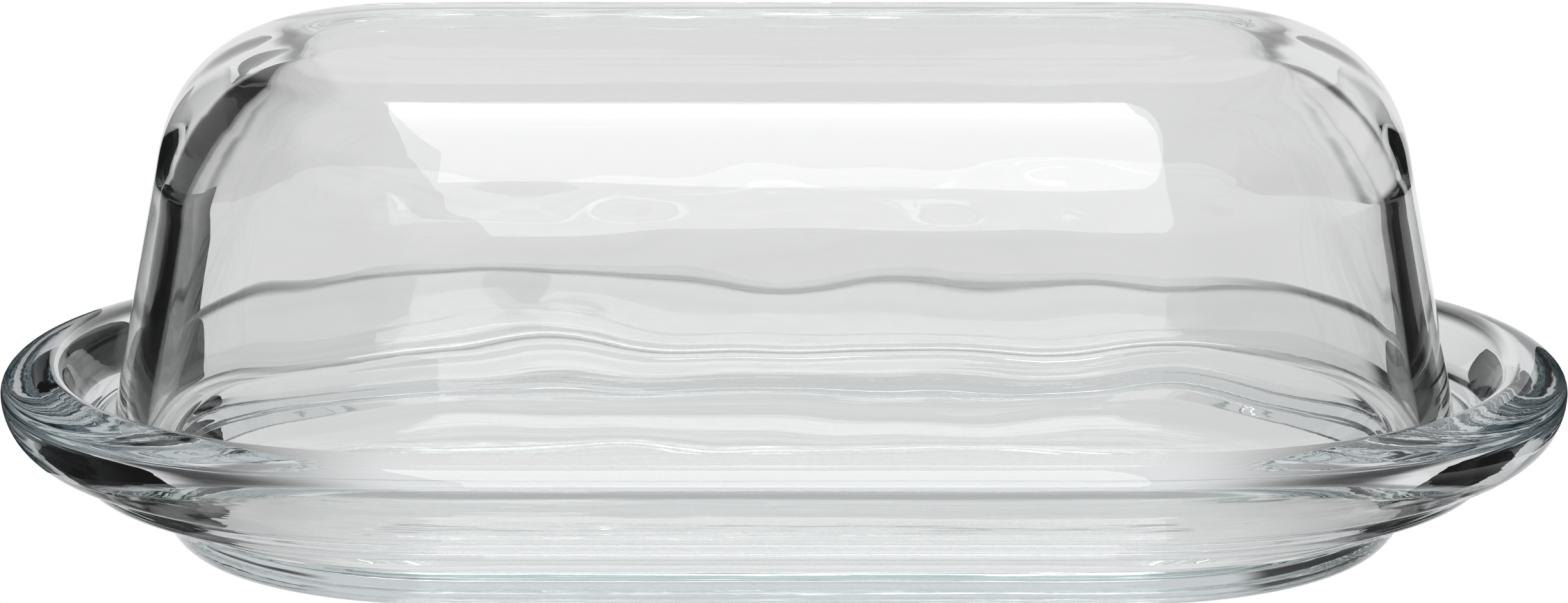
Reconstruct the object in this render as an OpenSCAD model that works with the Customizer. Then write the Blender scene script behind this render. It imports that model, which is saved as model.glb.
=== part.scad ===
// Glass butter dish: a wide dish on a stepped foot, and a domed cover that stands in its well.
// The origin is the centre of the foot's underside, X runs along the dish, +Z is up. Millimetres.

/* [Dish] */
// Length of the dish over its rim
dish_length = 190; // [184:1:210]
// Width of the dish over its rim
dish_width = 110; // [106:1:124]
// Radius of the rim's corners, seen from above
dish_corner = 52; // [50:0.5:53]
// Height of the rim's outer edge, the widest line of the dish
edge_height = 18.6; // [18:0.1:20]
// Height of the rim's crest
crest_height = 21.9; // [21.5:0.1:24]
// Distance of the crest in from the outer edge
crest_inset = 6.7; // [6:0.1:8]
// Height of the ledge that the cover stands on
ledge_height = 14.2; // [13.5:0.1:15]
// Width of the ledge
ledge_width = 7; // [6:0.25:8]
// Height of the well's floor, where the butter lies
floor_height = 4.6; // [4:0.1:6]

/* [Foot] */
// Length of the foot where it meets the table
foot_length = 139; // [132:1:142]
// Width of the foot where it meets the table
foot_width = 69; // [66:1:74]
// Radius of the foot's corners where it meets the table
foot_corner = 29.5; // [27:0.5:31]
// Height of the foot's lower tier
lower_tier = 7.1; // [6.5:0.1:7.5]
// Height of both tiers of the foot together
foot_height = 10.8; // [10.4:0.1:11.2]
// Depth of the recess under the foot
recess_depth = 0.8; // [0.4:0.1:1.5]

/* [Cover] */
// Length of the cover at its lower edge
cover_length = 163; // [155:0.5:164]
// Width of the cover at its lower edge
cover_width = 84; // [78:0.5:85]
// Radius of the cover's corners at its lower edge
cover_corner = 36.5; // [34:0.5:39]
// Height of the cover's top above the table
cover_top = 61.5; // [58:0.5:70]
// Lean of the cover's walls from upright, in degrees
wall_lean = 10; // [7:0.5:11]
// Outer radius of the cover's shoulder
shoulder_radius = 16.5; // [14:0.5:18]
// Inner radius of the cover's shoulder
inner_shoulder = 18; // [14:0.5:19]
// Thickness of the cover's wall
wall = 4; // [3.5:0.1:4.5]

/* [Hidden] */
$fn = 96;
glass = [0.86, 0.89, 0.89, 0.5];

// Corner axes of the dish, and the radii of its section measured from them
dish_x = dish_length / 2 - dish_corner;
dish_y = dish_width / 2 - dish_corner;
crest_radius = dish_corner - crest_inset;
crest_round = 1;
ledge_radius = crest_radius - 4.6;
cove = 1.2;

// The foot's two tiers, each wider at its top than at its bottom
lower_radius = foot_corner + 6.2;
upper_start = crest_radius - 7.4;
upper_radius = crest_radius - 2;
foot_x = foot_length / 2 - foot_corner;
foot_y = foot_width / 2 - foot_corner;
recess_inset = 6;

// The well, cut down from the ledge
well_x = dish_x - 3;
well_radius = ledge_radius - ledge_width;
well_lean = 3;
well_round = 1.5;

// Corner axes of the cover, and its rounded lip
cover_x = cover_length / 2 - cover_corner;
cover_y = cover_width / 2 - cover_corner;
lip_round = 1.2;
overlap = 1;

// Distance of the cover's outer wall from its corner axis, at a height
function wall_at(z) = cover_corner - (z - ledge_height) * tan(wall_lean);

// Points of an arc round (x, z), from one angle to the other
function arc(x, z, rx, rz, from, to, steps = 6) =
    [for (i = [0 : steps])
        let (a = from + (to - from) * i / steps)
        [x + rx * cos(a), z + rz * sin(a)]];

// Runs a section, drawn outwards from a corner axis, round a rounded rectangle
module around(x, y) {
    for (flip_x = [0, 1])
        for (flip_y = [0, 1])
            mirror([flip_x, 0, 0])
                mirror([0, flip_y, 0])
                    translate([x, y, 0])
                        rotate_extrude(angle = 90) children();
    for (turn = [0, 180])
        rotate([0, 0, turn]) {
            translate([x, y, 0])
                rotate([90, 0, 0])
                    linear_extrude(2 * y) children();
            translate([-x, y, 0])
                rotate([90, 0, 90])
                    linear_extrude(2 * x) children();
        }
}

// A solid whose every level is a rounded rectangle: its section starts and ends on the corner axis
module filled(x, y, section) {
    axis_heights = [for (point = section) if (point[0] == 0) point[1]];
    around(x, y) polygon(section);
    translate([-x, -y, min(axis_heights)])
        cube([2 * x, 2 * y, max(axis_heights) - min(axis_heights)]);
}

// The rim: a rounded edge over the foot, a crest, and a slope down to the ledge
module rim() {
    filled(dish_x, dish_y, concat(
        [[0, foot_height]],
        arc(upper_radius, edge_height, dish_corner - upper_radius, edge_height - foot_height, -90, 0),
        arc(crest_radius, edge_height, crest_inset, crest_height - edge_height, 15, 90),
        arc(crest_radius, crest_height - crest_round, crest_round, crest_round, 120, 150, 1),
        arc(ledge_radius + cove, ledge_height + cove, cove, cove, 210, 270, 3),
        [[0, ledge_height]]));
}

// A tier of the foot, its edge curving out from one radius below to another above
module foot_tier(x, y, bottom, top, bottom_radius, top_radius) {
    filled(x, y, concat(
        [[0, bottom]],
        arc(bottom_radius, top, top_radius - bottom_radius, top - bottom, -90, 0, 5),
        [[0, top]]));
}

// The space for the butter, open at the ledge
module well() {
    filled(well_x, dish_y, concat(
        [[0, floor_height]],
        arc(well_radius - well_lean - well_round, floor_height + well_round, well_round, well_round, -90, -15, 4),
        [[well_radius, ledge_height], [well_radius, ledge_height + overlap], [0, ledge_height + overlap]]));
}

module foot_recess() {
    radius = foot_corner - recess_inset;
    filled(foot_x, foot_y, [[0, -overlap], [radius, -overlap], [radius, recess_depth], [0, recess_depth]]);
}

module dish() {
    color(glass)
        difference() {
            union() {
                rim();
                foot_tier(dish_x, dish_y, lower_tier, foot_height, upper_start, upper_radius);
                foot_tier(foot_x, foot_y, 0, lower_tier, foot_corner, lower_radius);
            }
            well();
            foot_recess();
        }
}

// Points of a shoulder of the cover, from its level top to its wall, inset from the outer surface
function shoulder(radius, inset) =
    let (z = cover_top - inset - radius)
    arc(wall_at(z) - (inset + radius) / cos(wall_lean), z, radius, radius, 90, wall_lean, 8);

function reversed(points) = [for (i = [len(points) - 1 : -1 : 0]) points[i]];

// The cover: a flat top, a shoulder and leaning walls down to a rounded lip
module cover() {
    lip_z = ledge_height + lip_round;
    lip_step = lip_round / cos(wall_lean);
    color(glass)
        filled(cover_x, cover_y, concat(
            [[0, cover_top - wall]],
            shoulder(inner_shoulder, wall),
            arc(wall_at(lip_z) - wall / cos(wall_lean) + lip_step, lip_z, lip_round, lip_round,
                180 + wall_lean, 270, 3),
            arc(wall_at(lip_z) - lip_step, lip_z, lip_round, lip_round, -90, wall_lean, 3),
            reversed(shoulder(shoulder_radius, 0)),
            [[0, cover_top]]));
}

dish();
cover();
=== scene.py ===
import math

import bpy
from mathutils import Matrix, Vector, noise


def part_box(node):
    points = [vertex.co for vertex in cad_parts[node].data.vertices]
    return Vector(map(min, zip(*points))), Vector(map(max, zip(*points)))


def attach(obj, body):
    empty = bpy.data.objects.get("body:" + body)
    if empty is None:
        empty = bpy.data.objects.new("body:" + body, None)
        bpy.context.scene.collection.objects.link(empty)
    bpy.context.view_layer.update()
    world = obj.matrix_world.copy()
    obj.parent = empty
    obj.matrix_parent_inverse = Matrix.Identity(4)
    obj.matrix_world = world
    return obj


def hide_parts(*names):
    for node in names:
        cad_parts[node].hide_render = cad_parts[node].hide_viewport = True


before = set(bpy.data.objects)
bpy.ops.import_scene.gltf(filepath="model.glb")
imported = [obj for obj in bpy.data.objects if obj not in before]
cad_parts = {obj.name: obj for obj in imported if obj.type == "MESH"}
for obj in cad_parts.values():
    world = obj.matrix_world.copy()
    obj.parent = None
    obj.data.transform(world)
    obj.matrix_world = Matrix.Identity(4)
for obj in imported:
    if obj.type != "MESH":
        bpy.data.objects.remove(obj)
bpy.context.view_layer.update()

MM = 0.001
dish_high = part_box("dish")[1]
cover_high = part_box("cover")[1]

# Seen from above, every level of both pieces is a rounded rectangle: it has a radius and a corner axis,
# the (x, y) of its corners' centres
DISH_CORNER = 52 * MM
DISH_AXIS = (dish_high.x - DISH_CORNER, dish_high.y - DISH_CORNER)
COVER_CORNER = 36.5 * MM
COVER_AXIS = (45 * MM, 5.5 * MM)

# Heights and radii of the dish's rim, ledge and well
EDGE_Z = 18.6 * MM
CREST_Z = dish_high.z
CREST_R = DISH_CORNER - 6.7 * MM
LEDGE_Z = 14.2 * MM
LEDGE_R = CREST_R - 4.6 * MM
WELL_R = LEDGE_R - 7 * MM
WELL_AXIS = (DISH_AXIS[0] - 3 * MM, DISH_AXIS[1])
WELL_LEAN = 3 * MM
FLOOR_Z = 4.6 * MM

# Heights and radii of the dish's foot: a base, and a tier between it and the rim
TIER_TOP_Z = 10.8 * MM
TIER_TOP_R = CREST_R - 2 * MM
TIER_R = CREST_R - 7.4 * MM
BASE_TOP_Z = 7.1 * MM
BASE_AXIS = (40 * MM, 5 * MM)
BASE_R = 29.5 * MM
BASE_TOP_R = BASE_R + 6.2 * MM
RECESS = 0.8 * MM
RECESS_R = BASE_R - 6 * MM

# The cover's wall, shoulder and lip
WALL = 4 * MM
LEAN = math.radians(10)
SHOULDER = 16.5 * MM
INNER_SHOULDER = 18 * MM
TOP_Z = cover_high.z
LIP_ROUND = 1.2 * MM
REST_GAP = 0.05 * MM

# How far corners of the sections are rounded, and how far apart the levels of each mesh are
ROUNDING = 0.5 * MM
DISH_SPACING = 0.5 * MM
COVER_SPACING = 0.7 * MM


def wall_at(z):
    """Radius of the cover's outer wall at a height."""
    return COVER_CORNER - (z - LEDGE_Z) * math.tan(LEAN)


# ---- Sections: lists of levels, each one (corner axis x, corner axis y, radius, height)

def level(axis, radius, z):
    return (axis[0], axis[1], radius, z)


def arc(axis, radius, z, run, height, start, end, steps):
    """Levels along an elliptic arc round (radius, z), from one angle to the other in degrees."""
    angles = [math.radians(start + (end - start) * i / steps) for i in range(steps + 1)]
    return [level(axis, radius + run * math.cos(a), z + height * math.sin(a)) for a in angles]


def between(a, b, share):
    return tuple(p + (q - p) * share for p, q in zip(a, b))


def gap(a, b):
    """Distance between two levels, measured across the section at the end of the piece."""
    return math.hypot(a[0] + a[2] - b[0] - b[2], a[3] - b[3])


def soften(path, reach, steps=4):
    """Rounds the corners of a path of levels, within reach of each."""
    result = [path[0]]
    for before, corner, after in zip(path, path[1:], path[2:]):
        start = between(corner, before, min(0.5, reach / max(gap(corner, before), 1e-9)))
        end = between(corner, after, min(0.5, reach / max(gap(corner, after), 1e-9)))
        for i in range(steps + 1):
            t = i / steps
            result.append(between(between(start, corner, t), between(corner, end, t), t))
    result.append(path[-1])
    return result


def resample(path, spacing):
    """Levels at an even spacing along a path."""
    result = [path[0]]
    left = spacing
    for a, b in zip(path, path[1:]):
        length = gap(a, b)
        done = 0.0
        while length - done >= left:
            done += left
            result.append(between(a, b, done / length))
            left = spacing
        left -= length - done
    if gap(result[-1], path[-1]) > spacing / 4:
        result.append(path[-1])
    return result


def dish_levels():
    """The dish's section from the middle of its underside, round the rim, to the middle of the well."""
    # Each tier's edge stops short of upright, so that it runs into the next one in a soft corner
    tier_end = -8
    underside = [
        level(BASE_AXIS, RECESS_R - 6 * MM, RECESS),
        level(BASE_AXIS, RECESS_R, RECESS),
        level(BASE_AXIS, RECESS_R + 0.6 * MM, 0)]
    foot = (
        arc(BASE_AXIS, BASE_R, BASE_TOP_Z, BASE_TOP_R - BASE_R, BASE_TOP_Z, -90, tier_end, 10)
        + arc(DISH_AXIS, TIER_R, TIER_TOP_Z, TIER_TOP_R - TIER_R, TIER_TOP_Z - BASE_TOP_Z, -90, tier_end, 8))
    rim = (
        arc(DISH_AXIS, TIER_TOP_R, EDGE_Z, DISH_CORNER - TIER_TOP_R, EDGE_Z - TIER_TOP_Z, -84, 0, 14)
        + arc(DISH_AXIS, CREST_R, EDGE_Z, DISH_CORNER - CREST_R, CREST_Z - EDGE_Z, 15, 90, 8)
        + [level(DISH_AXIS, CREST_R - 1 * MM, CREST_Z - 0.6 * MM)])
    ledge = [
        level(DISH_AXIS, LEDGE_R + 0.6 * MM, LEDGE_Z + 0.8 * MM),
        level(DISH_AXIS, LEDGE_R - 0.5 * MM, LEDGE_Z),
        level(WELL_AXIS, WELL_R + 0.2 * MM, LEDGE_Z)]
    well = [
        level(WELL_AXIS, WELL_R - WELL_LEAN, FLOOR_Z + 1 * MM),
        level(WELL_AXIS, WELL_R - WELL_LEAN - 1.5 * MM, FLOOR_Z),
        level(WELL_AXIS, WELL_R - 14 * MM, FLOOR_Z)]
    return underside + foot + rim + ledge + well


def shoulder(radius, inset, start, end, steps):
    """The cover's shoulder on the surface at an inset from the outer one, from one angle to the other."""
    z = TOP_Z - inset - radius
    middle = wall_at(z) - (inset + radius) / math.cos(LEAN)
    return arc(COVER_AXIS, middle, z, radius, radius, start, end, steps)


def cover_levels():
    """The cover's section from the middle of its ceiling, down to its lip and up to the middle of its top."""
    lean = math.degrees(LEAN)
    lip_z = LEDGE_Z + LIP_ROUND + REST_GAP
    lip_step = LIP_ROUND / math.cos(LEAN)
    outer_lip = wall_at(lip_z) - lip_step
    inner_lip = wall_at(lip_z) - WALL / math.cos(LEAN) + lip_step
    return (
        [level(COVER_AXIS, 2 * MM, TOP_Z - WALL)]
        + shoulder(INNER_SHOULDER, WALL, 90, lean, 14)
        + arc(COVER_AXIS, inner_lip, lip_z, LIP_ROUND, LIP_ROUND, 180 + lean, 270, 4)
        + arc(COVER_AXIS, outer_lip, lip_z, LIP_ROUND, LIP_ROUND, -90, lean, 4)
        + shoulder(SHOULDER, 0, lean, 90, 18)
        + [level(COVER_AXIS, 2 * MM, TOP_Z)])


# ---- Outlines: each point has shares of the corner axis and of the radius, in x and in y

def unit_outline(ends=4, turns=44, sides=22, blend=26):
    """Shares of (axis x, radius in x, axis y, radius in y) for points round a rounded rectangle.

    They run counterclockwise from the middle of the +X end. Blending neighbours lets the straight
    sides run smoothly into the corners.
    """
    quarter = [(1, 1, i / ends, 0) for i in range(ends)]
    for i in range(turns):
        a = math.pi / 2 * i / turns
        quarter.append((1, math.cos(a), 1, math.sin(a)))
    quarter += [(1 - i / sides, 0, 1, 1) for i in range(sides)]
    painted_dark_reflection = [(-ax, -rx, ay, ry) for ax, rx, ay, ry in quarter[1:]]
    half = quarter + [(0, 0, 1, 1)] + painted_dark_reflection[::-1]
    points = half + [tuple(-share for share in point) for point in half]
    for _ in range(blend):
        after = points[1:] + points[:1]
        before = points[-1:] + points[:-1]
        points = [tuple((b + 2 * m + a) / 4 for b, m, a in zip(*trio)) for trio in zip(before, points, after)]
    end = points[0][1]
    side = points[len(quarter)][3]
    return [(ax, rx / end, ay, ry / side) for ax, rx, ay, ry in points]


UNIT_OUTLINE = unit_outline()


def outline(x, y, radius, z, scale=1):
    """Points of a level, shrunk towards the middle by a scale."""
    return [Vector((scale * (ax * x + rx * radius), scale * (ay * y + ry * radius), z))
            for ax, rx, ay, ry in UNIT_OUTLINE]


# ---- Meshes

def loft_faces(loops, count):
    """Faces of a closed tube of loops, and of the fans to the two middle points that follow the loops."""
    faces = []
    start = loops * count
    end = start + 1
    top = (loops - 1) * count
    for row in range(loops - 1):
        for i in range(count):
            j = (i + 1) % count
            low = row * count
            high = low + count
            faces.append((low + i, low + j, high + j, high + i))
    for i in range(count):
        j = (i + 1) % count
        faces.append((start, j, i))
        faces.append((end, top + i, top + j))
    return faces


def loft(name, levels, displace):
    """A closed mesh through levels, shut at both ends by shrinking loops, then moved along its normals."""
    shrink = (0.9, 0.75, 0.6, 0.45, 0.3, 0.15, 0.05)
    loops = [outline(*levels[0], scale) for scale in reversed(shrink)]
    loops += [outline(*one) for one in levels]
    loops += [outline(*levels[-1], scale) for scale in shrink]
    points = [point for loop in loops for point in loop]
    points += [Vector((0, 0, levels[0][3])), Vector((0, 0, levels[-1][3]))]
    mesh = bpy.data.meshes.new(name)
    mesh.from_pydata(points, [], loft_faces(len(loops), len(UNIT_OUTLINE)))
    mesh.shade_smooth()
    mesh.update()
    normals = [vertex.normal.copy() for vertex in mesh.vertices]
    for vertex, normal in zip(mesh.vertices, normals):
        vertex.co += normal * displace(vertex.co.copy(), normal)
    mesh.update()
    obj = bpy.data.objects.new(name, mesh)
    bpy.context.scene.collection.objects.link(obj)
    return obj


# ---- Waves: how far a point of a surface is moved outwards

def rise(value, low, high):
    """Smoothly from 0 to 1 as value goes from low to high."""
    t = min(1.0, max(0.0, (value - low) / (high - low)))
    return t * t * (3 - 2 * t)


def grooves(point, axis, spacing):
    """Fine lines that run round the piece, left by the turned mould: the same all along, from -1 to 1."""
    beyond = [max(0.0, abs(c) - a) for c, a in zip(point, axis)]
    across = math.hypot(*beyond)
    return noise.noise(Vector((across, point.z, 0.0)) / spacing)


def dish_waves(point, _normal):
    """A faint swell and grooves, and nothing on the face that the dish stands on."""
    calm = min(1.0, point.z / (3 * MM))
    swell = 0.03 * noise.noise(point / (20 * MM))
    return calm * MM * (swell + 0.02 * grooves(point, DISH_AXIS, 3 * MM))


def cover_waves(point, normal):
    """Pressed glass is wavy: inside mostly at the back, outside below the shoulder, little at the ends."""
    middle_z = 30 * MM
    outward = normal.x * point.x + normal.y * point.y + normal.z * (point.z - middle_z)
    ends = 1 - 0.85 * rise(abs(point.x), 58 * MM, 70 * MM)
    if outward > 0:
        bend = rise(point.z, 26 * MM, 40 * MM) * (1 - rise(point.z, 42 * MM, 56 * MM))
        return MM * 0.7 * bend * ends * noise.noise(point / (32 * MM))
    lines = 0.03 * rise(point.z, 40 * MM, 56 * MM) * grooves(point, COVER_AXIS, 2 * MM)
    wall = rise(point.z, LEDGE_Z + 1 * MM, LEDGE_Z + 7 * MM) * (1 - rise(point.z, 42 * MM, 50 * MM))
    wall *= ends * (0.2 + 0.5 * rise(point.y, 18 * MM, 36 * MM))
    # Picks the part of the noise that the inner waves come from
    shift = Vector((3.1, 0.4, 0.0))
    return MM * (lines + wall * noise.noise(point / (12 * MM) + shift))


# ---- Materials

class Graph:
    """Short calls that add nodes to a tree and return their output sockets."""

    def __init__(self, tree):
        self.tree = tree
        tree.nodes.clear()

    def node(self, kind, inputs=(), **settings):
        made = self.tree.nodes.new(kind)
        for name, value in settings.items():
            setattr(made, name, value)
        for key, value in dict(inputs).items():
            if isinstance(value, bpy.types.NodeSocket):
                self.tree.links.new(value, made.inputs[key])
            else:
                made.inputs[key].default_value = value
        return made

    def math(self, operation, *values):
        return self.node("ShaderNodeMath", enumerate(values), operation=operation).outputs[0]

    def product(self, *values):
        result = values[0]
        for value in values[1:]:
            result = self.math("MULTIPLY", result, value)
        return result

    def split(self, vector):
        """The x, y and z of a vector."""
        return self.node("ShaderNodeSeparateXYZ", {0: vector}).outputs

    def ramp(self, value, low, high, start=0.0, end=1.0):
        """Smoothly from start to end as value goes from low to high."""
        inputs = {"Value": value, "From Min": low, "From Max": high, "To Min": start, "To Max": end}
        return self.node("ShaderNodeMapRange", inputs, interpolation_type="SMOOTHSTEP").outputs[0]

    def noise(self, place, scale, detail):
        inputs = {"Vector": place, "Scale": scale, "Detail": detail}
        return self.node("ShaderNodeTexNoise", inputs).outputs[0]


def mould_lines(g, place, axis):
    """Noise drawn out along the piece's outline: the fine lines of a turned mould."""
    x, y, z = g.split(place)
    beyond = [g.math("SUBTRACT", g.math("ABSOLUTE", c), a) for c, a in zip((x, y), axis)]
    squares = [g.math("POWER", g.math("MAXIMUM", b, 0.0), 2.0) for b in beyond]
    across = g.math("SQRT", g.math("ADD", *squares))
    around = g.product(g.math("ADD", x, y), 0.04)
    point = g.node("ShaderNodeCombineXYZ", {0: across, 1: around, 2: z}).outputs[0]
    return g.noise(point, 900.0, 2.0)


def clear_glass(name, tint, depth_tint, axis, swell, lines):
    """Clear pressed glass. depth_tint colours its inside, swell and lines are heights on its surface."""
    material = bpy.data.materials.new(name)
    material.use_nodes = True
    g = Graph(material.node_tree)
    place = g.node("ShaderNodeTexCoord").outputs["Object"]
    line_height = g.product(mould_lines(g, place, axis), lines)
    swell_height = g.product(g.noise(place, 120.0, 1.0), swell)
    height = g.math("ADD", line_height, swell_height)
    bump = g.node("ShaderNodeBump", {"Strength": 1.0, "Distance": 1.0, "Height": height}).outputs[0]
    # Faint smears of handling on a polished surface
    roughness = g.ramp(g.noise(place, 40.0, 3.0), 0.45, 0.8, 0.0, 0.012)
    surface = g.node("ShaderNodeBsdfPrincipled", {
        "Base Color": (*tint, 1),
        "Roughness": roughness,
        "IOR": 1.5,
        "Transmission Weight": 1.0,
        "Normal": bump})
    inside = g.node("ShaderNodeVolumeAbsorption", {"Color": (*depth_tint, 1), "Density": 25.0})
    g.node("ShaderNodeOutputMaterial", {"Surface": surface.outputs[0], "Volume": inside.outputs[0]})
    return material


# ---- The two pieces, each in place of the CAD node that has its body's name

def place_piece(piece, body, glass):
    piece.data.materials.append(glass)
    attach(piece, body)
    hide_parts(body)


def make_dish():
    levels = resample(soften(dish_levels(), ROUNDING), DISH_SPACING)
    tint = (0.97, 0.975, 0.975)
    depth_tint = (0.87, 0.9, 0.912)
    glass = clear_glass("dish_glass", tint, depth_tint, DISH_AXIS, swell=0.003 * MM, lines=0.012 * MM)
    place_piece(loft("dish_glass", levels, dish_waves), "dish", glass)


def make_cover():
    levels = resample(soften(cover_levels(), ROUNDING), COVER_SPACING)
    tint = (0.96, 0.965, 0.96)
    depth_tint = (0.96, 0.975, 0.97)
    glass = clear_glass("cover_glass", tint, depth_tint, COVER_AXIS, swell=0.006 * MM, lines=0.001 * MM)
    place_piece(loft("cover_glass", levels, cover_waves), "cover", glass)


# ---- Studio: a pale table before a lit backdrop, with a softbox overhead and a black card at each side.
# They light the glass and turn with the camera, which itself sees nothing but white behind the glass.

BACKDROP_LIGHT = 0.74
TABLE_LIGHT = 0.82
CARD_LIGHT = 0.01
SOFTBOX_LIGHT = 3.3


def white_to_camera(g, light):
    """The camera itself sees pure white; the glass sees the light given."""
    path = g.node("ShaderNodeLightPath").outputs["Is Camera Ray"]
    return g.node("ShaderNodeMix", {0: path, 2: light, 3: 1.0}).outputs[0]


def dimmed(g, light, amount):
    return g.product(light, g.math("SUBTRACT", 1.0, amount))


def studio_world():
    """The backdrop, lit ahead of the camera and overhead. It is dark behind the camera and at both sides."""
    world = bpy.data.worlds.new("studio")
    world.use_nodes = True
    bpy.context.scene.world = world
    g = Graph(world.node_tree)
    where = g.node("ShaderNodeTexCoord")
    side, _, ahead = g.split(where.outputs["Camera"])
    up = g.split(where.outputs["Generated"])[2]
    behind = g.product(g.ramp(ahead, -0.2, 0.1, 1.0, 0.0), g.ramp(up, 0.3, 0.7, 1.0, 0.0))
    left = g.product(g.ramp(side, -0.35, -0.25, 1.0, 0.0), g.ramp(up, 0.75, 0.85, 1.0, 0.0))
    right = g.product(g.ramp(side, 0.25, 0.35), g.ramp(up, 0.2, 0.3, 1.0, 0.0))
    dark = g.math("MAXIMUM", behind, g.math("MAXIMUM", left, right))
    light = dimmed(g, BACKDROP_LIGHT, g.product(dark, 0.96))
    sky = g.node("ShaderNodeBackground", {"Color": (1, 1, 1, 1), "Strength": white_to_camera(g, light)})
    g.node("ShaderNodeOutputWorld", {"Surface": sky.outputs[0]})


def painted_table_reflection_and_shade(g, light):
    """Light from the table as if glossy: a painted reflection of something dark at middle angles, and painted
    shade beside the cards.
    """
    toward = g.node("ShaderNodeNewGeometry").outputs["Incoming"]
    steep = g.math("ABSOLUTE", g.split(toward)[2])
    # Painted reflection: darker at middle angles, as a glossy table would mirror something dark
    painted_dark_reflection = g.product(g.ramp(steep, 0.45, 0.55), g.ramp(steep, 0.6, 0.72, 0.5, 0.0))
    x, y, _ = g.split(g.node("ShaderNodeTexCoord").outputs["Object"])
    # Painted shade: darker at both sides near the black cards
    painted_card_shade = g.product(g.ramp(g.math("ABSOLUTE", x), 0.045, 0.08), g.ramp(y, 0.1, 0.2, 0.9, 0.0))
    return dimmed(g, light, g.math("MAXIMUM", painted_dark_reflection, g.product(painted_card_shade, g.ramp(steep, 0.4, 0.6))))


def panel(holder, name, corners, light, shade=None):
    """A flat glowing or black panel that turns with the camera, unseen by the camera itself."""
    mesh = bpy.data.meshes.new(name)
    mesh.from_pydata(corners, [], [range(len(corners))])
    obj = bpy.data.objects.new(name, mesh)
    bpy.context.scene.collection.objects.link(obj)
    material = bpy.data.materials.new(name)
    material.use_nodes = True
    # Glass bends the paths to a panel, so aiming straight at one finds no light
    material.cycles.emission_sampling = "NONE"
    g = Graph(material.node_tree)
    if shade:
        light = shade(g, light)
    glow = g.node("ShaderNodeEmission", {"Color": (1, 1, 1, 1), "Strength": white_to_camera(g, light)})
    g.node("ShaderNodeOutputMaterial", {"Surface": glow.outputs[0]})
    mesh.materials.append(material)
    obj.parent = holder
    obj.visible_camera = False


def turntable(camera):
    """An empty object that turns about Z to keep its -Y side towards the camera."""
    holder = bpy.data.objects.new("turntable", None)
    bpy.context.scene.collection.objects.link(holder)
    track = holder.constraints.new("LOCKED_TRACK")
    track.target = camera
    track.track_axis = "TRACK_NEGATIVE_Y"
    track.lock_axis = "LOCK_Z"
    return holder


def studio(camera):
    """The studio's panels. Each corner is in metres from the middle of the dish's underside."""
    studio_world()
    holder = turntable(camera)
    reach = 4.0
    table_z = -0.02 * MM
    square = [(x * reach, y * reach, table_z) for x, y in ((-1, -1), (1, -1), (1, 1), (-1, 1))]
    panel(holder, "table", square, TABLE_LIGHT, painted_table_reflection_and_shade)
    front_y, back_y = -0.12, 0.06
    card_z = 0.056
    for name, front_x, back_x in (("left_card", -0.112, -0.087), ("right_card", 0.13, 0.1)):
        front, back = (front_x, front_y), (back_x, back_y)
        panel(holder, name, [(*front, 0), (*back, 0), (*back, card_z), (*front, card_z)], CARD_LIGHT)
    softbox_z = 0.7
    softbox = ((-0.1, -1.1), (0.165, -1.1), (0.165, -0.86), (0.062, 0.25), (-0.117, 0.25), (-0.075, -0.4))
    panel(holder, "softbox", [(x, y, softbox_z) for x, y in softbox], SOFTBOX_LIGHT)


# ---- Camera

def make_camera():
    """A long lens, 13 degrees above the table, in front of the dish."""
    elevation = math.radians(13.2)
    distance = 1.66
    aim = Vector((0, 0, 28.96 * MM))
    data = bpy.data.cameras.new("camera")
    data.sensor_width = 36
    data.lens = 314.6
    data.clip_start = 0.05
    obj = bpy.data.objects.new("camera", data)
    obj.location = aim + distance * Vector((0, -math.cos(elevation), math.sin(elevation)))
    obj.rotation_euler = (math.pi / 2 - elevation, 0, 0)
    bpy.context.scene.collection.objects.link(obj)
    bpy.context.scene.camera = obj
    return obj


def let_light_through(scene):
    """Paths long enough to cross both pieces of glass many times, and colours as they are."""
    scene.view_settings.view_transform = "Standard"
    scene.cycles.max_bounces = 100
    scene.cycles.transmission_bounces = 100
    scene.cycles.glossy_bounces = 64
    scene.cycles.transparent_max_bounces = 16


make_dish()
make_cover()
studio(make_camera())
let_light_through(bpy.context.scene)
